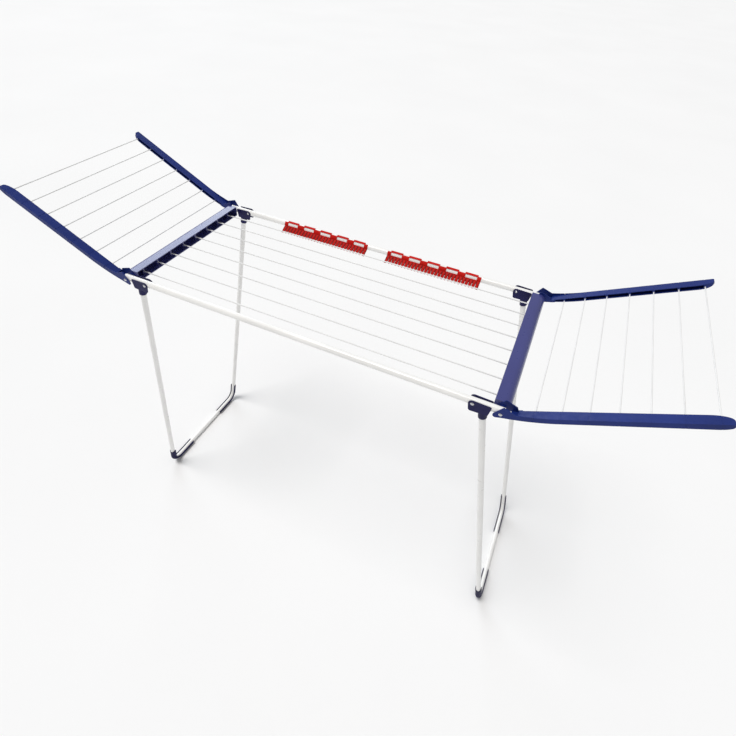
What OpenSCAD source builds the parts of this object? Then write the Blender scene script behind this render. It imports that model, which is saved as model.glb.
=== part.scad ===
// Winged clothes drying rack on two folding U-shaped legs.
// X runs along the rack, Y from front to back, Z up; the floor is z = 0.

/* [Overall] */
// Height of the side tubes' axis above the floor
tube_height = 1112; // [920:1:1340]
// Distance between the axes of the front and back side tubes
tube_spacing = 530; // [440:1:640]
// Distance between the wing hinge pins at the two ends
hinge_span = 1147; // [950:1:1380]

/* [Side tubes] */
// Outer diameter of a side tube
tube_d = 20; // [16:0.5:24]
// Wall of a side tube
tube_wall = 1; // [0.8:0.1:1.5]
// Length of side tube beyond the wing hinge pin
tube_overhang = 8; // [6:0.5:9]

/* [Legs] */
// Outer diameter of a leg tube
leg_d = 18; // [15:0.5:22]
// Wall of a leg tube
leg_wall = 1; // [0.8:0.1:1.5]
// Distance from the wing hinge pin in to the leg rivet
leg_inset = 70; // [66:1:90]
// Distance of the leg's plane from its rivet
leg_offset = 23; // [22:0.5:28]
// Outward lean of the left leg when it stands
left_splay = 10.7; // [8:0.1:13]
// Outward lean of the right leg when it stands
right_splay = 11.8; // [8:0.1:13]
// Narrowing of the left leg on each side, from rivet to floor
left_taper = 33; // [28:0.5:40]
// Narrowing of the right leg on each side, from rivet to floor
right_taper = 45; // [40:0.5:55]
// Bend radius of a leg's bottom corners
leg_bend_r = 45; // [35:1:60]

/* [Leg connectors] */
// Length of a connector's cheeks outboard of the rivet
cheek_length = 47; // [40:0.5:48]
// Thickness of a connector's cheeks
cheek_wall = 2; // [1.6:0.1:2.5]
// Wall of the socket that holds the leg
socket_wall = 2.4; // [1.8:0.1:2.6]
// Depth of the socket's mouth below the rivet
socket_depth = 50; // [44:1:60]

/* [Foot caps] */
// Length of a cap along the bottom bar, from the leg's corner
cap_length = 128; // [100:1:160]
// Height of a cap up the leg, above the bottom bar's axis
cap_height = 95; // [80:1:120]
// Wall of a cap
cap_wall = 2.4; // [1.8:0.1:3]
// Thickness of the sole under the bottom bar
sole = 3; // [2.5:0.1:4]
// Width of the flat sole
sole_width = 14; // [10:1:16]

/* [Crossbars] */
// Width of a crossbar along the rack
bar_width = 42; // [36:1:44]
// Distance from the wing hinge pin out to a crossbar's nose
bar_nose = 19.5; // [17:0.5:21]
// Height of a crossbar above the side tubes' axis
bar_rise = 17; // [14:0.5:20]
// Depth of a crossbar below the side tubes' axis
bar_drop = 16; // [13:0.5:18]
// Wall of a crossbar
bar_wall = 2.4; // [1.8:0.1:3]

/* [Drying wires] */
// Number of wires between the crossbars
centre_count = 8; // [4:1:10]
// Diameter of a centre wire
centre_wire_d = 4; // [3:0.1:5]
// Distance from a side tube's axis to the nearest centre wire
centre_inset = 51.5; // [40:0.5:60]
// Height of the centre wires below the side tubes' axis
centre_drop = 4; // [2:0.5:6]
// Number of wires on a wing
wing_count = 7; // [4:1:9]
// Diameter of a wing wire
wing_wire_d = 3.2; // [2.5:0.1:4]
// Distance from the hinge pin to a wing's first wire
wing_first = 73.5; // [65:0.5:85]
// Distance from a wing's last wire to the arm's tip
wing_last = 21; // [16:0.5:30]

/* [Wings] */
// Lean of the open wings above level
wing_angle = 26.7; // [0:0.1:35]
// Length of a wing arm from the hinge pin to its tip
wing_length = 448; // [380:1:540]
// Width of an arm behind its hinge fork
arm_width = 27; // [22:0.2:29]
// Height of an arm
arm_height = 14; // [12:0.5:18]
// Wall of an arm
arm_wall = 2; // [1.6:0.1:2.6]
// Height of the fork's peak above the hinge pin
fork_peak = 21; // [17:0.5:23]
// Length of the fork's nose inboard of the hinge pin
fork_nose = 19.5; // [16:0.5:21]

/* [Pins] */
// Diameter of the rivets' shanks
pin_d = 5; // [4:0.1:6]
// Diameter of the rivets' heads
rivet_head_d = 9.5; // [8:0.1:11]

/* [Peg bars] */
// Length of a peg bar
peg_length = 328; // [280:1:360]
// Distance from the middle of the rack to the left peg bar's centre
peg_left_x = 181; // [175:1:220]
// Distance from the middle of the rack to the right peg bar's centre
peg_right_x = 222; // [210:1:250]
// Number of teeth on a peg bar
peg_teeth = 28; // [20:1:32]
// Number of windows in a peg bar
peg_windows = 5; // [3:1:6]
// Thickness of a peg bar
peg_wall = 1.8; // [1.5:0.1:2.2]
// Reach of a peg bar's comb from its sleeve to the teeth's tips
peg_reach = 30; // [22:1:36]
// Slope of the comb below level
peg_slope = 27; // [15:1:30]

/* [Hidden] */
$fn = 64;
eps = 0.01;
// Gap between moulded parts and the tube they straddle
side_play = 0.3;
// Radial play of a pin or wire in its hole
pin_play = 0.05;
// Gap between a folded wing arm and the tube below it
fold_gap = 0.6;
// Gap between a foot cap and its leg tube
cap_play = 0.12;
// Bends are this much thicker than the straights that run into them
seam = 0.05;
seam_lap = 0.5;

tube_r = tube_d / 2;
leg_r = leg_d / 2;
pin_r = pin_d / 2;
hinge_x = hinge_span / 2;
leg_x = hinge_x - leg_inset;
tube_y = tube_spacing / 2;

// Faces measured sideways from a side tube's axis
cheek_in = tube_r + side_play;
cheek_out = cheek_in + cheek_wall;
fork_in = cheek_out + side_play;
fork_out = fork_in + arm_wall;
bar_end = tube_y - fork_out - side_play;

// Wing arm heights in the arm's own frame, with the hinge pin at 0
arm_top = -(tube_r + fold_gap);
arm_base = arm_top - arm_height;
wire_z = arm_base + 5.6;
wing_pitch = (wing_length - wing_first - wing_last) / (wing_count - 1);
// The outer rim and the underside reach their straight run here
root_end = 130;
// Length of the arm's rounded tip
tip_run = 28;
plate_start = 37;
floor_start = 20;
rib = 6;

centre_pitch = (tube_spacing - 2 * centre_inset) / (centre_count - 1);
// The centre wires end this far inboard of the hinge pin
wire_reach = 1;
socket_r = leg_r + socket_wall;
// Depth below the rivet at which the leg tube ends inside its socket
leg_top = 26;
cap_r = leg_r + cap_wall;
sole_r = leg_r + sole;

tube_white = "#f3f2ee";
wire_white = "#eceae6";
arm_blue = "#3a4096";
bar_blue = "#5b5c9c";
dark_blue = "#2b2557";
peg_red = "#cf2018";
steel = "#c9cace";

// Points of an arc from angle a0 to a1 in n steps
function arc(c, r, a0, a1, n = 8) =
    [for (i = [0 : n]) let (a = a0 + (a1 - a0) * i / n) c + r * [cos(a), sin(a)]];

// Extrudes an X-Z outline from y0 to y1
module plate(y0, y1) {
    translate([0, y1, 0])
        rotate([90, 0, 0])
            linear_extrude(y1 - y0)
                children();
}

// Extrudes a Y-Z outline from x0 to x1
module along_x(x0, x1) {
    translate([x0, 0, 0])
        rotate([90, 0, 90])
            linear_extrude(x1 - x0)
                children();
}

// A round bar along Y
module y_rod(r, y0, y1) {
    translate([0, y1, 0])
        rotate([90, 0, 0])
            cylinder(r = r, h = y1 - y0);
}

// Mirrors the right or front form to the left or back
module side(left = false, back = false) {
    mirror([left ? 1 : 0, 0, 0])
        mirror([0, back ? 1 : 0, 0])
            children();
}

// ---- side tubes ----

module side_tube(back) {
    length = hinge_span + 2 * tube_overhang;
    color(tube_white)
        side(back = back)
            translate([0, -tube_y, tube_height])
                difference() {
                    rotate([0, 90, 0])
                        cylinder(r = tube_r, h = length, center = true);
                    rotate([0, 90, 0])
                        cylinder(r = tube_r - tube_wall, h = length + 2, center = true);
                    for (x = [-hinge_x, -leg_x, leg_x, hinge_x])
                        translate([x, 0, 0])
                            y_rod(pin_r + pin_play, -tube_d, tube_d);
                }
}

module tube_plugs(left) {
    color(dark_blue)
        for (back = [false, true])
            side(left = left, back = back)
                translate([hinge_x + tube_overhang - 4, -tube_y, tube_height])
                    rotate([0, 90, 0])
                        cylinder(r = tube_r - tube_wall - 0.1, h = 4);
}

// ---- crossbars ----

// Bull-nosed section, open inboard, with x = 0 at the hinge pin
module bar_section(inset) {
    lip = bar_nose - bar_width - (inset > 0 ? 5 : 0);
    nose_x = -2;
    mid = (bar_rise - bar_drop) / 2;
    b = (bar_rise + bar_drop) / 2 - inset;
    a = bar_nose - nose_x - inset;
    soft = 0.95;
    polygon(concat(
        [[lip, mid + b]],
        [for (t = [90 : -7.5 : -90])
            [nose_x + a * pow(cos(t), soft), mid + b * sign(t) * pow(abs(sin(t)), soft)]],
        [[lip, mid - b]]
    ));
}

module crossbar(left) {
    face = -9;
    boss_r = pin_r + 3.5;
    boss_len = 12;
    inner = bar_end - bar_wall;
    rib_w = centre_wire_d + 3;
    wire_y = [for (i = [0 : centre_count - 1]) (i - (centre_count - 1) / 2) * centre_pitch];
    starts = concat([-inner], [for (y = wire_y) y + rib_w / 2]);
    ends = concat([for (y = wire_y) y - rib_w / 2], [inner]);
    color(bar_blue)
        side(left = left)
            translate([hinge_x, 0, tube_height])
                difference() {
                    union() {
                        difference() {
                            plate(-bar_end, bar_end)
                                bar_section(0);
                            // Open front of the section, ahead of the ribs
                            plate(-inner, inner)
                                intersection() {
                                    bar_section(bar_wall);
                                    translate([-2 * bar_width, -bar_width])
                                        square([2 * bar_width + face, 2 * bar_width]);
                                }
                            // Pockets between the ribs that hold the wires
                            for (i = [0 : centre_count])
                                plate(starts[i], ends[i])
                                    bar_section(bar_wall);
                        }
                        for (s = [-1, 1])
                            translate([0, s * (inner - boss_len / 2), 0])
                                y_rod(boss_r, -boss_len / 2 - eps, boss_len / 2 + eps);
                    }
                    y_rod(pin_r + pin_play, -bar_end - 1, -inner + boss_len + 1);
                    y_rod(pin_r + pin_play, inner - boss_len - 1, bar_end + 1);
                    for (y = wire_y)
                        translate([-wire_reach, y, -centre_drop])
                            rotate([0, -90, 0])
                                cylinder(r = centre_wire_d / 2 + pin_play, h = 30);
                }
}

module centre_wire(i) {
    span = hinge_span - 2 * wire_reach;
    color(wire_white)
        translate([-span / 2, (i - (centre_count + 1) / 2) * centre_pitch, tube_height - centre_drop])
            rotate([0, 90, 0])
                cylinder(r = centre_wire_d / 2, h = span, $fn = 32);
}

// ---- legs ----

// Each leg is drawn in its own frame: origin at its rivets, X outboard,
// the leg's plane at x = leg_offset, turned outward by its splay.
module leg_frame(left) {
    side(left = left)
        translate([leg_x, 0, tube_height])
            rotate([0, left ? -left_splay : -right_splay, 0])
                children();
}

function splay(left) = left ? left_splay : right_splay;
// Length of a leg from its rivet line down to the bottom bar's axis
function leg_len(left) =
    (tube_height - sole_r + leg_offset * sin(splay(left))) / cos(splay(left));
// Half width between the uprights' axes at the bottom bar
function foot_half(left) = tube_y - (left ? left_taper : right_taper);
// Angle of an upright from the leg's middle line
function lean(left) = atan2(tube_y - foot_half(left), leg_len(left));
// Distance from the corner to where the bend starts
function bend_run(left) = leg_bend_r * tan((90 - lean(left)) / 2);

// Places children with Z up along the back upright, from the corner
module up_the_leg(left) {
    translate([0, foot_half(left), -leg_len(left)])
        rotate([-lean(left), 0, 0])
            children();
}

// Sweeps a section with its outside towards +X round the back bottom corner
module round_the_corner(left) {
    translate([0, foot_half(left) - bend_run(left), -leg_len(left) + leg_bend_r])
        rotate([90, 0, 90])
            rotate([0, 0, -90])
                rotate_extrude(angle = 90 - lean(left))
                    translate([leg_bend_r, 0])
                        children();
}

// A length of leg tube along Z; the bends are drawn a hair thicker
module tube_run(h) {
    difference() {
        cylinder(r = leg_r, h = h);
        translate([0, 0, -1])
            cylinder(r = leg_r - leg_wall, h = h + 2);
    }
}

module leg_tube(left) {
    up = (leg_len(left) - leg_top) / cos(lean(left));
    flat = foot_half(left) - bend_run(left) + seam_lap;
    color(tube_white)
        leg_frame(left)
            translate([leg_offset, 0, 0]) {
                for (b = [false, true])
                    side(back = !b) {
                        up_the_leg(left)
                            translate([0, 0, bend_run(left) - seam_lap])
                                tube_run(up - bend_run(left) + seam_lap);
                        round_the_corner(left)
                            difference() {
                                circle(r = leg_r + seam);
                                circle(r = leg_r - leg_wall - seam);
                            }
                    }
                translate([0, flat, -leg_len(left)])
                    rotate([90, 0, 0])
                        tube_run(2 * flat);
            }
}

// Channel section of a foot cap: +X is the outside of the bend
module cap_section(grow) {
    lip = leg_r - 1 + grow;
    inner = leg_r + cap_play - grow;
    difference() {
        union() {
            circle(r = cap_r + grow);
            translate([-lip, -cap_r - grow])
                square([lip, 2 * (cap_r + grow)]);
        }
        circle(r = inner);
        translate([-2 * cap_r, -inner])
            square([2 * cap_r, 2 * inner]);
        translate([-2 * cap_r - lip, -2 * cap_r])
            square([2 * cap_r, 4 * cap_r]);
    }
}

// The sole stays level when the leg leans outward
module sole_section(left) {
    difference() {
        rotate(-splay(left))
            translate([0, -sole_width / 2])
                square([sole_r, sole_width]);
        circle(r = leg_r + 1);
    }
}

module foot_cap(left, back) {
    rise = cap_height / cos(lean(left));
    dish = cap_r + 1;
    sole_start = foot_half(left) - bend_run(left) + 12;
    color(dark_blue)
        leg_frame(left)
            translate([leg_offset, 0, 0])
                side(back = !back)
                    difference() {
                        union() {
                            round_the_corner(left)
                                cap_section(seam);
                            up_the_leg(left)
                                translate([0, 0, bend_run(left) - seam_lap])
                                    rotate(90)
                                        linear_extrude(rise - bend_run(left) + seam_lap)
                                            cap_section(0);
                            translate([0, foot_half(left) - bend_run(left) + seam_lap, -leg_len(left)])
                                rotate([90, 90, 0])
                                    linear_extrude(cap_length - bend_run(left))
                                        cap_section(0);
                            translate([0, sole_start, -leg_len(left)])
                                rotate([90, 90, 0])
                                    linear_extrude(cap_length - bend_run(left) + 10)
                                        sole_section(left);
                        }
                        // Dished rim of the cap's outer wall
                        up_the_leg(left)
                            translate([0, 0, rise + dish * 0.38])
                                y_rod(dish, 0, 3 * cap_r);
                    }
}

// Side outline of a connector, in the side tube's frame
module cheek_outline() {
    top_r = tube_r + 0.5;
    low = -24;
    polygon(concat(
        arc([0, 0], top_r, 90, 192),
        arc([-0.6, low + 6.5], 6.5, 192, 270),
        arc([cheek_length - 7, low + 6], 4, 270, 340, 4),
        arc([cheek_length - 4, tube_r - 5], 4, 0, 90, 4)
    ));
}

module connector(left, back) {
    web_start = 13.5;
    web_top = -(tube_r + side_play);
    color(dark_blue)
        side(left = left, back = back)
            translate([leg_x, -tube_y, tube_height])
                difference() {
                    union() {
                        plate(-cheek_out, -cheek_in)
                            cheek_outline();
                        plate(cheek_in, cheek_out)
                            cheek_outline();
                        plate(-cheek_out, cheek_out)
                            intersection() {
                                cheek_outline();
                                // Slopes away so that it clears the tube when folded
                                polygon([
                                    [web_start, web_top],
                                    [web_start + 15, web_top - 60],
                                    [web_start + 60, web_top - 60],
                                    [web_start + 60, web_top]
                                ]);
                            }
                        along_leg(left)
                            translate([0, 0, -socket_depth])
                                cylinder(r = socket_r, h = socket_depth - 22);
                    }
                    along_leg(left)
                        translate([0, 0, -socket_depth - 1])
                            cylinder(r = leg_r + 0.12, h = socket_depth + 1 - leg_top / cos(lean(left)));
                    y_rod(pin_r + pin_play, -2 * cheek_out, 2 * cheek_out);
                }
}

// The front upright's axis, seen from the side tube's frame
module along_leg(left) {
    rotate([0, -splay(left), 0])
        translate([leg_offset, 0, 0])
            rotate([lean(left), 0, 0])
                children();
}

// ---- rivets ----

module rivet_head(r) {
    rise = 2.2;
    big = (r * r + rise * rise) / (2 * rise);
    rotate([-90, 0, 0])
        rotate_extrude()
            intersection() {
                translate([0, rise - big])
                    circle(r = big);
                square([r, rise]);
            }
}

module leg_rivets(left) {
    reach = cheek_out + side_play / 2;
    color(steel)
        for (back = [false, true])
            side(left = left, back = back)
                translate([leg_x, -tube_y, tube_height]) {
                    y_rod(pin_r, -reach - 0.5, reach + 0.5);
                    translate([0, -reach, 0])
                        mirror([0, 1, 0])
                            rivet_head(rivet_head_d / 2);
                    translate([0, reach, 0])
                        rivet_head(rivet_head_d / 2 - 1);
                }
}

module wing_rivets(left) {
    reach = fork_out + side_play / 2;
    color(steel)
        for (back = [false, true])
            side(left = left, back = back)
                translate([hinge_x, -tube_y, tube_height]) {
                    y_rod(pin_r, -reach - 0.5, fork_out + side_play + 13);
                    translate([0, -reach, 0])
                        mirror([0, 1, 0])
                            rivet_head(rivet_head_d / 2);
                }
}

// ---- wings ----

module wing_frame(left) {
    side(left = left)
        translate([hinge_x, 0, tube_height])
            rotate([0, -wing_angle, 0])
                children();
}

// Underside of an arm at distance a from the hinge pin
function arm_low(a) =
    -tube_r + (arm_base + tube_r) * (1 - pow(1 - min(a, root_end) / root_end, 2));
// Upper rim of the outer wall, which rises into the fork near the hinge
function arm_rim(a) =
    arm_top + 8.6 * pow(1 - (min(a, root_end) - plate_start) / (root_end - plate_start), 2);

// Rise of an arm's underside towards its tip, at distance a from the tip's end
function tip_lift(a) =
    8.6 * (1 - sqrt(1 - pow(max(0, tip_run - a) / tip_run, 2) * 0.98));

// Side outline of an arm; the inner cheek stops at the bridge
module arm_outline(to_tip) {
    nose_r = 7;
    bridge = plate_start + 9;
    polygon(concat(
        arc([nose_r - fork_nose, -1.5], nose_r, 250, 115),
        arc([13, fork_peak - 3], 3, 120, 45, 4),
        to_tip
            ? concat(
                [for (a = [plate_start : 12 : root_end]) [a, arm_rim(a)]],
                arc([wing_length - 2, arm_top - 2], 2, 90, 0, 4),
                [for (a = [0 : 4 : tip_run]) [wing_length - a, arm_base + tip_lift(a)]]
            )
            : [[plate_start, arm_rim(plate_start)], [bridge, arm_top], [bridge, arm_low(bridge)]],
        [for (a = [to_tip ? root_end : plate_start : -10 : 0]) [a, arm_low(a)]]
    ));
}

// Plan of an arm: its inner edge rounds off towards the tip
module arm_plan() {
    inner = arm_width - fork_out;
    run = 40;
    cut = arm_width * 0.6;
    polygon(concat(
        [[-2 * fork_nose, -fork_out], [wing_length - 3, -fork_out]],
        arc([wing_length - 3, -fork_out + 3], 3, 270, 360, 4),
        [for (a = [0 : 4 : run])
            [wing_length - a, inner - cut * (1 - sqrt(1 - pow((run - a) / run, 2) * 0.99))]],
        [[-2 * fork_nose, inner]]
    ));
}

// One pocket in the open inner side of an arm, from a0 to a1
module arm_pocket(a0, a1) {
    n = a0 < root_end ? 6 : 1;
    plate(arm_wall - fork_out, fork_out)
        polygon(concat(
            [[a1, arm_top - arm_wall], [a0, arm_top - arm_wall]],
            [for (i = [0 : n]) let (a = a0 + (a1 - a0) * i / n) [a, arm_low(a) + arm_wall]]
        ));
}

module wing_arm(left, back) {
    wires = [for (i = [0 : wing_count - 1]) wing_first + i * wing_pitch];
    inner = arm_width - fork_out;
    bridge_end = plate_start + 9;
    color(arm_blue)
        wing_frame(left)
            side(back = back)
                translate([0, -tube_y, 0])
                    difference() {
                        union() {
                            intersection() {
                                plate(-fork_out, inner)
                                    arm_outline(true);
                                translate([0, 0, -100])
                                    linear_extrude(200)
                                        arm_plan();
                            }
                            // Inner cheek of the fork and the bridge to it
                            plate(fork_in, fork_out)
                                arm_outline(false);
                            plate(inner - arm_wall, fork_out)
                                polygon([
                                    [plate_start - 3, arm_low(plate_start)],
                                    [plate_start - 3, arm_top],
                                    [bridge_end, arm_top],
                                    [bridge_end, arm_low(bridge_end)]
                                ]);
                            // Bosses that close the gap to the side tube
                            y_rod(pin_r + 5, -fork_in - eps, -cheek_in);
                            y_rod(pin_r + 5, cheek_in, fork_in + eps);
                        }
                        // Slot for the end of the side tube, clear of the bosses
                        fork_slot(-fork_in, -cheek_in);
                        fork_slot(cheek_in, fork_in);
                        plate(-cheek_in, cheek_in)
                            slot_outline(0);
                        // Seat above the top plate, inside the outer rim
                        plate(-fork_in, 2 * fork_out)
                            polygon([
                                [plate_start - 1, arm_top],
                                [root_end + 10, arm_top],
                                [root_end + 10, fork_peak],
                                [plate_start - 1, fork_peak]
                            ]);
                        arm_pocket(48, wires[0] - rib / 2);
                        for (i = [0 : wing_count - 2])
                            arm_pocket(wires[i] + rib / 2, wires[i + 1] - rib / 2);
                        for (a = wires) {
                            translate([a, 0, wire_z]) {
                                y_rod(wing_wire_d / 2 + pin_play, 1.1 - fork_out, 2 * fork_out);
                                // Dimple outside the end of the wire
                                y_rod(wing_wire_d / 2 - 0.3, -2 * fork_out, 0.4 - fork_out);
                            }
                            // Mould lines across the top plate and down the outer wall
                            translate([a - 0.5, -2 * fork_out, arm_top - 0.4])
                                cube([1, 4 * fork_out, 30]);
                            translate([a - 0.5, -2 * fork_out, arm_base - 1])
                                cube([1, fork_out + 0.4, 40]);
                        }
                        y_rod(pin_r + pin_play, -2 * fork_out, 2 * fork_out);
                    }
}

// Outline of the space that the side tube needs between the cheeks
module slot_outline(boss) {
    difference() {
        polygon([
            [-2 * fork_nose, -60],
            [floor_start, -60],
            [floor_start, arm_low(floor_start) + arm_wall],
            [plate_start, arm_low(plate_start) + arm_wall],
            [plate_start, 60],
            [-2 * fork_nose, 60]
        ]);
        if (boss > 0)
            circle(r = boss);
    }
}

module fork_slot(y0, y1) {
    plate(y0, y1)
        slot_outline(pin_r + 5);
}

module wing_wire(left, i) {
    recess = 1.2;
    reach = tube_y + fork_out - recess;
    color(wire_white)
        wing_frame(left)
            translate([wing_first + (i - 1) * wing_pitch, 0, wire_z])
                y_rod(wing_wire_d / 2, -reach, reach, $fn = 32);
}

// ---- peg bars ----

// Ring sector round the side tube; angles run up from the front
module shell_sector(a0, a1) {
    r0 = tube_r + side_play;
    r1 = r0 + peg_wall;
    flip = function(p) [-p.x, p.y];
    polygon([
        for (p = concat(arc([0, 0], r1, a0, a1, 14), arc([0, 0], r0, a1, a0, 14))) flip(p)
    ]);
}

// Wedge that cuts a window between two angles
module wedge(a0, a1) {
    r = 2 * tube_d;
    polygon([[0, 0], [-r * cos(a0), r * sin(a0)], [-r * cos(a1), r * sin(a1)]]);
}

// Places the comb's plane, with its teeth pointing down local Z
module comb_frame() {
    mid = tube_r + side_play + peg_wall / 2;
    translate([0, -mid * cos(18), -mid * sin(18)])
        rotate([peg_slope - 90, 0, 0])
            children();
}

module peg_bar(x) {
    tooth = peg_length / peg_teeth;
    gap = 1;
    root = 0.4 * peg_reach;
    vee = 0.3 * peg_reach;
    window_pitch = peg_length / peg_windows;
    window_w = window_pitch * 0.6;
    color(peg_red)
        translate([x, tube_y, tube_height])
            difference() {
                union() {
                    along_x(-peg_length / 2, peg_length / 2)
                        shell_sector(-28, 63);
                    for (i = [1 : peg_windows])
                        translate([(i - (peg_windows + 1) / 2) * window_pitch, 0, 0])
                            along_x(-window_w / 2 - 2, window_w / 2 + 2)
                                shell_sector(-150, 95);
                    comb_frame()
                        translate([-peg_length / 2, -peg_wall / 2, -peg_reach])
                            cube([peg_length, peg_wall, peg_reach]);
                }
                for (i = [1 : peg_windows])
                    translate([(i - (peg_windows + 1) / 2) * window_pitch, 0, 0])
                        along_x(-window_w / 2, window_w / 2)
                            wedge(-6, 52);
                // Gaps between the teeth, widening in a V at their tips
                comb_frame()
                    for (i = [1 : peg_teeth - 1])
                        translate([-peg_length / 2 + i * tooth, 0, 0])
                            plate(-peg_wall, peg_wall)
                                polygon(concat(
                                    arc([0, -root], gap / 2, 0, 180),
                                    [[-gap / 2, vee - peg_reach], [0.8 - tooth / 2, -peg_reach - 1],
                                     [tooth / 2 - 0.8, -peg_reach - 1], [gap / 2, vee - peg_reach]]
                                ));
            }
}

side_tube(false);  // side_tube_front
side_tube(true);  // side_tube_back
tube_plugs(true);  // tube_plugs_left
tube_plugs(false);  // tube_plugs_right
crossbar(true);  // crossbar_left
crossbar(false);  // crossbar_right
centre_wire(1);  // centre_wire_1
centre_wire(2);  // centre_wire_2
centre_wire(3);  // centre_wire_3
centre_wire(4);  // centre_wire_4
centre_wire(5);  // centre_wire_5
centre_wire(6);  // centre_wire_6
centre_wire(7);  // centre_wire_7
centre_wire(8);  // centre_wire_8
wing_rivets(true);  // wing_rivets_left
wing_rivets(false);  // wing_rivets_right
leg_rivets(true);  // leg_rivets_left
leg_rivets(false);  // leg_rivets_right
peg_bar(-peg_left_x);  // peg_bar_left
peg_bar(peg_right_x);  // peg_bar_right
leg_tube(true);  // left_leg_tube
connector(true, false);  // left_connector_front
connector(true, true);  // left_connector_back
foot_cap(true, false);  // left_foot_front
foot_cap(true, true);  // left_foot_back
leg_tube(false);  // right_leg_tube
connector(false, false);  // right_connector_front
connector(false, true);  // right_connector_back
foot_cap(false, false);  // right_foot_front
foot_cap(false, true);  // right_foot_back
wing_arm(true, false);  // left_arm_front
wing_arm(true, true);  // left_arm_back
wing_wire(true, 1);  // left_wing_wire_1
wing_wire(true, 2);  // left_wing_wire_2
wing_wire(true, 3);  // left_wing_wire_3
wing_wire(true, 4);  // left_wing_wire_4
wing_wire(true, 5);  // left_wing_wire_5
wing_wire(true, 6);  // left_wing_wire_6
wing_wire(true, 7);  // left_wing_wire_7
wing_arm(false, false);  // right_arm_front
wing_arm(false, true);  // right_arm_back
wing_wire(false, 1);  // right_wing_wire_1
wing_wire(false, 2);  // right_wing_wire_2
wing_wire(false, 3);  // right_wing_wire_3
wing_wire(false, 4);  // right_wing_wire_4
wing_wire(false, 5);  // right_wing_wire_5
wing_wire(false, 6);  // right_wing_wire_6
wing_wire(false, 7);  // right_wing_wire_7
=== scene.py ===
import math

import bmesh
import bpy
import numpy as np
from mathutils import Matrix, Vector


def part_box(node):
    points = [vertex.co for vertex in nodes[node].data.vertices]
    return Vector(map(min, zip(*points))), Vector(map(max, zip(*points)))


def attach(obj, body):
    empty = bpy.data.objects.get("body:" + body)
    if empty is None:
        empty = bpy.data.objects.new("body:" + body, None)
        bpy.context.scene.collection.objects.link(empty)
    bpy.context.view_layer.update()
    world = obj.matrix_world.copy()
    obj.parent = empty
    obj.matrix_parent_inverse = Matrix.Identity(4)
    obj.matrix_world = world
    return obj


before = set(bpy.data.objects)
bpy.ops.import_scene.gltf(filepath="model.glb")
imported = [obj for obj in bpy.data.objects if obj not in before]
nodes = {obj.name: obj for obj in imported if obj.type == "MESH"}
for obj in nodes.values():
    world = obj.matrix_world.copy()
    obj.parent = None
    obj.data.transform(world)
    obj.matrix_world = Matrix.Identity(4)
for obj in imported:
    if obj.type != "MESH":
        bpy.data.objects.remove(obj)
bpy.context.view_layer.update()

# ---- The camera ----
# It stands in front of the right half of the rack, a little above eye level,
# and looks down along the wires to the left crossbar.
tube_axis_height = 1.112
camera_place = Vector((0.53882, -1.09743, tube_axis_height + 0.85233))
camera_turn = -0.3641
camera_dip = 0.7736
camera_roll = -0.0859
lens_width_ratio = 475.33 / 736.0
forward = Vector((
    math.sin(camera_turn) * math.cos(camera_dip),
    math.cos(camera_turn) * math.cos(camera_dip),
    -math.sin(camera_dip),
))
level_right = forward.cross(Vector((0, 0, 1))).normalized()
level_down = forward.cross(level_right)
right = math.cos(camera_roll) * level_right + math.sin(camera_roll) * level_down
down = -math.sin(camera_roll) * level_right + math.cos(camera_roll) * level_down
camera_data = bpy.data.cameras.new("camera")
camera_data.sensor_width = 36.0
camera_data.lens = lens_width_ratio * 36.0
camera_data.clip_end = 100.0
camera = bpy.data.objects.new("camera", camera_data)
bpy.context.scene.collection.objects.link(camera)
camera.matrix_world = Matrix((
    (right.x, -down.x, -forward.x, camera_place.x),
    (right.y, -down.y, -forward.y, camera_place.y),
    (right.z, -down.z, -forward.z, camera_place.z),
    (0, 0, 0, 1),
))
bpy.context.scene.camera = camera
bpy.context.scene.view_settings.view_transform = "Standard"

# ---- Side tubes and leg tubes ----
# Thin steel tube, powder coated warm white and cured in an oven.
# The coat is glossy with a faint orange peel, and it is a touch duller where it is thin.
tube_white = (0.93, 0.925, 0.905)


def finish_material(name, colour, roughness, metallic=0.0, coat=0.0, shine=0.5):
    """A new material with its principled shader, its node tree and an object coordinate socket."""
    material = bpy.data.materials.new(name)
    material.use_nodes = True
    tree = material.node_tree
    shader = tree.nodes["Principled BSDF"]
    shader.inputs["Base Color"].default_value = (*colour, 1)
    shader.inputs["Roughness"].default_value = roughness
    shader.inputs["Metallic"].default_value = metallic
    shader.inputs["Specular IOR Level"].default_value = shine
    shader.inputs["Coat Weight"].default_value = coat
    shader.inputs["Coat Roughness"].default_value = 0.12
    place = tree.nodes.new("ShaderNodeTexCoord").outputs["Object"]
    return material, tree, shader, place


def noise(tree, place, scale, detail=3.0, stretch=(1, 1, 1)):
    """Cloudy noise on object coordinates, stretched along each axis; returns its value socket."""
    mapping = tree.nodes.new("ShaderNodeMapping")
    mapping.inputs["Scale"].default_value = stretch
    tree.links.new(place, mapping.inputs["Vector"])
    cloud = tree.nodes.new("ShaderNodeTexNoise")
    cloud.inputs["Scale"].default_value = scale
    cloud.inputs["Detail"].default_value = detail
    tree.links.new(mapping.outputs["Vector"], cloud.inputs["Vector"])
    return cloud.outputs["Fac"]


def spread(tree, value, low, high, start=0.3, end=0.7):
    """Stretches a noise value from start..end onto low..high."""
    span = tree.nodes.new("ShaderNodeMapRange")
    span.inputs["From Min"].default_value = start
    span.inputs["From Max"].default_value = end
    span.inputs["To Min"].default_value = low
    span.inputs["To Max"].default_value = high
    tree.links.new(value, span.inputs["Value"])
    return span.outputs["Result"]


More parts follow.
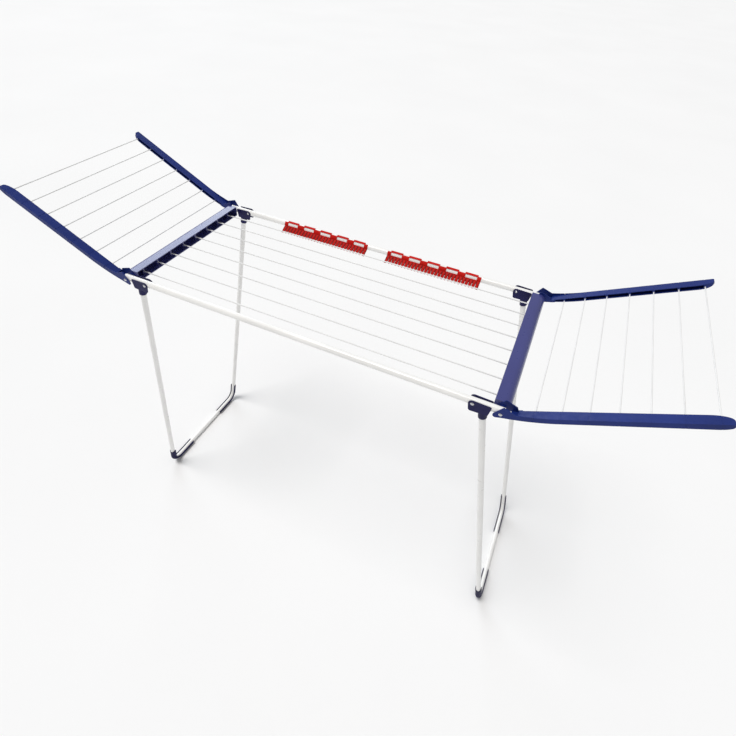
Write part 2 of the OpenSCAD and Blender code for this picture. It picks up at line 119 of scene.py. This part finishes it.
def tint(tree, shader, value, dark, light):
    """Colours the base between dark and light by a 0..1 value."""
    ramp = tree.nodes.new("ShaderNodeValToRGB")
    ramp.color_ramp.elements[0].position = 0.3
    ramp.color_ramp.elements[1].position = 0.7
    ramp.color_ramp.elements[0].color = (*dark, 1)
    ramp.color_ramp.elements[1].color = (*light, 1)
    tree.links.new(value, ramp.inputs["Fac"])
    tree.links.new(ramp.outputs["Color"], shader.inputs["Base Color"])


def relief(tree, shader, value, depth, strength=1.0):
    """Bumps the surface by a noise value, depth metres from lowest to highest."""
    bump = tree.nodes.new("ShaderNodeBump")
    bump.inputs["Distance"].default_value = depth
    bump.inputs["Strength"].default_value = strength
    tree.links.new(value, bump.inputs["Height"])
    tree.links.new(bump.outputs["Normal"], shader.inputs["Normal"])


def scaled(colour, factor):
    """A colour made darker or lighter by a factor."""
    return tuple(min(1.0, c * factor) for c in colour)


def give(material, *names):
    """Puts a material on every face of the named CAD nodes."""
    for name in names:
        slots = nodes[name].data.materials
        slots.clear()
        slots.append(material)


powder_coat, tree, shader, place = finish_material("powder_coat", tube_white, 0.3, coat=0.35)
tint(tree, shader, noise(tree, place, 9.0), scaled(tube_white, 0.95), scaled(tube_white, 1.03))
tree.links.new(spread(tree, noise(tree, place, 60.0), 0.27, 0.35), shader.inputs["Roughness"])
relief(tree, shader, noise(tree, place, 700.0, 2.0), 0.00004, 0.08)
give(powder_coat, "side_tube_front", "side_tube_back", "left_leg_tube", "right_leg_tube")

# ---- Drying wires ----
# Steel wire dipped in white plastic, so the coat is smooth, soft edged and slightly grey.
# Their ends are pushed into holes in the crossbars' ribs and the wing arms.
wire_white = (0.8, 0.8, 0.795)
wire_coat, tree, shader, place = finish_material("wire_coat", wire_white, 0.38)
tint(tree, shader, noise(tree, place, 14.0), scaled(wire_white, 0.94), scaled(wire_white, 1.04))
tree.links.new(spread(tree, noise(tree, place, 120.0), 0.3, 0.48), shader.inputs["Roughness"])
relief(tree, shader, noise(tree, place, 400.0, 2.0), 0.00003, 0.3)
give(wire_coat, *[name for name in nodes if "_wire_" in name])

# ---- Crossbars ----
# Bull-nosed channels moulded in blue plastic with a polished nose, open on the inboard side,
# where short ribs hold the wires. The plastic shows faint flow clouds and sink marks.
bar_blue = (0.05, 0.056, 0.215)
bar_plastic, tree, shader, place = finish_material("crossbar_plastic", bar_blue, 0.3, coat=0.5)
flow = noise(tree, place, 7.0, 4.0, (1, 0.4, 1))
tint(tree, shader, flow, scaled(bar_blue, 0.88), scaled(bar_blue, 1.12))
tree.links.new(spread(tree, noise(tree, place, 70.0), 0.27, 0.33), shader.inputs["Roughness"])
relief(tree, shader, noise(tree, place, 60.0, 2.0), 0.00006, 0.05)
give(bar_plastic, "crossbar_left", "crossbar_right")

# ---- Wing arms ----
# Long channels moulded in royal blue plastic, with a hinge fork at the root
# and a fine satin grain on the mould's faces.
arm_blue = (0.008, 0.023, 0.165)
arm_plastic, tree, shader, place = finish_material("arm_plastic", arm_blue, 0.34, shine=0.22)
tint(tree, shader, noise(tree, place, 10.0, 4.0), scaled(arm_blue, 0.86), scaled(arm_blue, 1.14))
tree.links.new(spread(tree, noise(tree, place, 90.0), 0.34, 0.5), shader.inputs["Roughness"])
relief(tree, shader, noise(tree, place, 1500.0, 2.0), 0.00006, 0.4)
give(arm_plastic, "left_arm_front", "left_arm_back", "right_arm_front", "right_arm_back")

# ---- Leg connectors, foot caps and tube plugs ----
# Dark indigo plastic, moulded with a slightly rough spark-eroded texture; the caps are darker.
# The connectors straddle the side tubes and the caps are pushed onto the legs' corners.
indigo = (0.011, 0.010, 0.072)
foot_indigo = (0.006, 0.005, 0.055)


def dark_finish(name, colour, shine):
    """Dark textured plastic in one shade of indigo."""
    material, tree, shader, place = finish_material(name, colour, 0.42, shine=shine)
    tint(tree, shader, noise(tree, place, 16.0, 4.0), scaled(colour, 0.82), scaled(colour, 1.2))
    tree.links.new(spread(tree, noise(tree, place, 110.0), 0.34, 0.54), shader.inputs["Roughness"])
    relief(tree, shader, noise(tree, place, 1300.0, 3.0), 0.00008, 0.4)
    return material


give(dark_finish("dark_plastic", indigo, 0.18), "tube_plugs_left", "tube_plugs_right",
     *[name for name in nodes if "_connector_" in name])
give(dark_finish("foot_plastic", foot_indigo, 0.1),
     *[name for name in nodes if "_foot_" in name])

# ---- Rivets ----
# Plated steel rivets with domed heads, pressed closed from the outside.
# The plating is bright and cloudy, with fine scuffs where the tool gripped.
steel = (0.62, 0.62, 0.64)
rivet_steel, tree, shader, place = finish_material("rivet_steel", steel, 0.3, metallic=1.0)
tint(tree, shader, noise(tree, place, 200.0), scaled(steel, 0.85), scaled(steel, 1.1))
tree.links.new(spread(tree, noise(tree, place, 900.0), 0.22, 0.42), shader.inputs["Roughness"])
relief(tree, shader, noise(tree, place, 1800.0, 2.0), 0.00003, 0.5)
give(rivet_steel, *[name for name in nodes if "_rivets_" in name])

# ---- Peg bars ----
# Two sleeves of satin red plastic snapped on the back side tube, each with five windows
# and a comb of flexible teeth that small laundry is pushed into.
red = (0.56, 0.011, 0.007)
comb_teeth = 28
# The comb lies in front of this line, and the sleeve behind it
comb_edge_y = 0.2525
# Points closer than this are one point
same_point = 1e-6


def number(tree, operation, first, second):
    """The result of a math node on two inputs, each a socket or a number."""
    calculation = tree.nodes.new("ShaderNodeMath")
    calculation.operation = operation
    for socket, value in zip(calculation.inputs, (first, second)):
        if isinstance(value, float):
            socket.default_value = value
        else:
            tree.links.new(value, socket)
    return calculation.outputs[0]


def red_finish(name, start, tooth):
    """Red plastic with painted shade in the creases between the comb's teeth, which start at x =
    start and are tooth metres wide. The painted shade is the triangle wave of x, and it stops at
    the sleeve's edge."""
    material, tree, shader, place = finish_material(name, red, 0.5, shine=0.08)
    tint(tree, shader, noise(tree, place, 20.0, 3.0), scaled(red, 0.92), scaled(red, 1.08))
    tree.links.new(spread(tree, noise(tree, place, 150.0), 0.42, 0.58), shader.inputs["Roughness"])
    relief(tree, shader, noise(tree, place, 900.0, 2.0), 0.00004, 0.4)
    # Painted shade: the base colour is darkened between the comb's teeth, where shade falls in the
    # gaps.
    axes = tree.nodes.new("ShaderNodeSeparateXYZ")
    tree.links.new(place, axes.inputs["Vector"])
    along_comb = number(tree, "SUBTRACT", axes.outputs["X"], start)
    from_crease = number(tree, "PINGPONG", along_comb, tooth / 2)
    shade = spread(tree, from_crease, 0.28, 0.9, 0.08 * tooth, 0.3 * tooth)
    on_sleeve = number(tree, "GREATER_THAN", axes.outputs["Y"], comb_edge_y)
    painted_crease_shade = tree.nodes.new("ShaderNodeMix")
    painted_crease_shade.data_type = "RGBA"
    painted_crease_shade.blend_type = "MULTIPLY"
    painted_crease_shade.inputs["Factor"].default_value = 1.0
    tree.links.new(shader.inputs["Base Color"].links[0].from_socket, painted_crease_shade.inputs["A"])
    tree.links.new(number(tree, "MAXIMUM", shade, on_sleeve), painted_crease_shade.inputs["B"])
    tree.links.new(painted_crease_shade.outputs["Result"], shader.inputs["Base Color"])
    return material


def solid_from_grids(name, grids, material):
    """One mesh from an array of grids (pieces, rows, columns, 3): rows run along each piece,
    columns run round it and close on themselves, and the first and last rows shrink to points."""
    pieces, rows, columns, _ = grids.shape
    counts = (np.arange(pieces), np.arange(rows - 1), np.arange(columns))
    piece, row, column = np.meshgrid(*counts, indexing="ij")
    beside = (column + 1) % columns
    start = piece * rows * columns
    corners = [
        start + row * columns + column,
        start + row * columns + beside,
        start + (row + 1) * columns + beside,
        start + (row + 1) * columns + column,
    ]
    faces = np.stack(corners, -1).reshape(-1, 4)
    mesh = bpy.data.meshes.new(name)
    mesh.from_pydata(grids.reshape(-1, 3).tolist(), [], faces.tolist())
    poles = bmesh.new()
    poles.from_mesh(mesh)
    bmesh.ops.remove_doubles(poles, verts=poles.verts, dist=same_point)
    poles.to_mesh(mesh)
    poles.free()
    mesh.materials.append(material)
    mesh.shade_smooth()
    thing = bpy.data.objects.new(name, mesh)
    bpy.context.scene.collection.objects.link(thing)
    return thing


tube_line_y = 0.265
sleeve_mid = 0.0112
comb_joint = math.radians(18)
comb_slope = math.radians(27)
comb_down = np.array([0.0, -math.cos(comb_slope), -math.sin(comb_slope)])
comb_out = np.array([0.0, -math.sin(comb_slope), math.cos(comb_slope)])
comb_root = np.array([
    0.0,
    tube_line_y - sleeve_mid * math.cos(comb_joint),
    tube_axis_height - sleeve_mid * math.sin(comb_joint),
])
rib_start = 0.009
rib_top = comb_root + rib_start * comb_down
rib_length = 0.0185
rib_half_width = 0.0026
rib_height = 0.0009
# The ribs' middle lies just inside the comb's face
rib_lift = 0.0008


def ridges(centres_x, lift):
    """Raised ribs down a comb's face, one per tooth, lift metres above the comb's middle plane.
    A rib's cross-section is an ellipse of rib_half_width by rib_height. It keeps its full size
    until 0.72 of the way from its middle to its end, and then shrinks to a point as
    sqrt(1 - t^2) does. The rows stand closer together at both ends."""
    bend = np.linspace(0, math.pi / 2, 5)
    along = np.concatenate([1 - np.cos(bend), [6.0], 7 + np.sin(bend)])
    along = along / along[-1]
    from_middle = np.abs(along - 0.5) * 2
    into_end = np.clip(from_middle - 0.72, 0, None) / 0.28
    swell = np.sqrt(np.clip(1 - into_end**2, 0, 1))[None, :, None]
    around = np.linspace(0, 2 * math.pi, 8, endpoint=False)
    x = centres_x[:, None, None] + rib_half_width * swell * np.cos(around)
    out = rib_height * swell * np.sin(around) + 0 * x
    run = (along * rib_length)[None, :, None] + 0 * x
    grid = rib_top + lift * comb_out + run[..., None] * comb_down + out[..., None] * comb_out
    grid[..., 0] += x
    return grid


for side in ("left", "right"):
    low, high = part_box(f"peg_bar_{side}")
    tooth = (high[0] - low[0]) / comb_teeth
    centres = low[0] + tooth * (np.arange(comb_teeth) + 0.5)
    red_plastic = red_finish(f"red_plastic_{side}", low[0], tooth)
    give(red_plastic, f"peg_bar_{side}")
    for face, lift in (("upper", rib_lift), ("lower", -rib_lift)):
        ribs = solid_from_grids(f"comb_ribs_{side}_{face}", ridges(centres, lift), red_plastic)
        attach(ribs, f"{side}_peg_bar")

# ---- Floor and light ----
# A plain pale floor under a white sky, one soft lamp overhead and a lower one, slightly blue,
# behind the left wing, which glances off the left crossbar.
floor_mesh = bpy.data.meshes.new("floor")
half = 40.0
corners = [(-half, -half, 0), (half, -half, 0), (half, half, 0), (-half, half, 0)]
floor_mesh.from_pydata(corners, [], [(0, 1, 2, 3)])
floor = bpy.data.objects.new("floor", floor_mesh)
bpy.context.scene.collection.objects.link(floor)
floor_paint, tree, shader, place = finish_material("floor_paint", (0.88, 0.88, 0.88), 0.9)
tint(tree, shader, noise(tree, place, 0.7), (0.87, 0.87, 0.87), (0.89, 0.89, 0.89))
floor_mesh.materials.append(floor_paint)

world = bpy.data.worlds.new("sky")
bpy.context.scene.world = world
world.use_nodes = True
world.node_tree.nodes["Background"].inputs["Color"].default_value = (1, 1, 1, 1)
world.node_tree.nodes["Background"].inputs["Strength"].default_value = 0.34


def sun(name, aim, spread_angle, strength, colour):
    """A distant lamp that shines along aim, as soft as the angle it fills."""
    data = bpy.data.lights.new(name, "SUN")
    data.color = colour
    data.angle = math.radians(spread_angle)
    data.energy = strength
    thing = bpy.data.objects.new(name, data)
    bpy.context.scene.collection.objects.link(thing)
    thing.rotation_euler = Vector(aim).to_track_quat("-Z", "Y").to_euler()


sun("overhead", (0.25, 0.2, -1.0), 24, 2.0, (1, 0.98, 0.96))
sun("window", (1112, -1097, -852), 36, 1.0, (0.84, 0.92, 1))
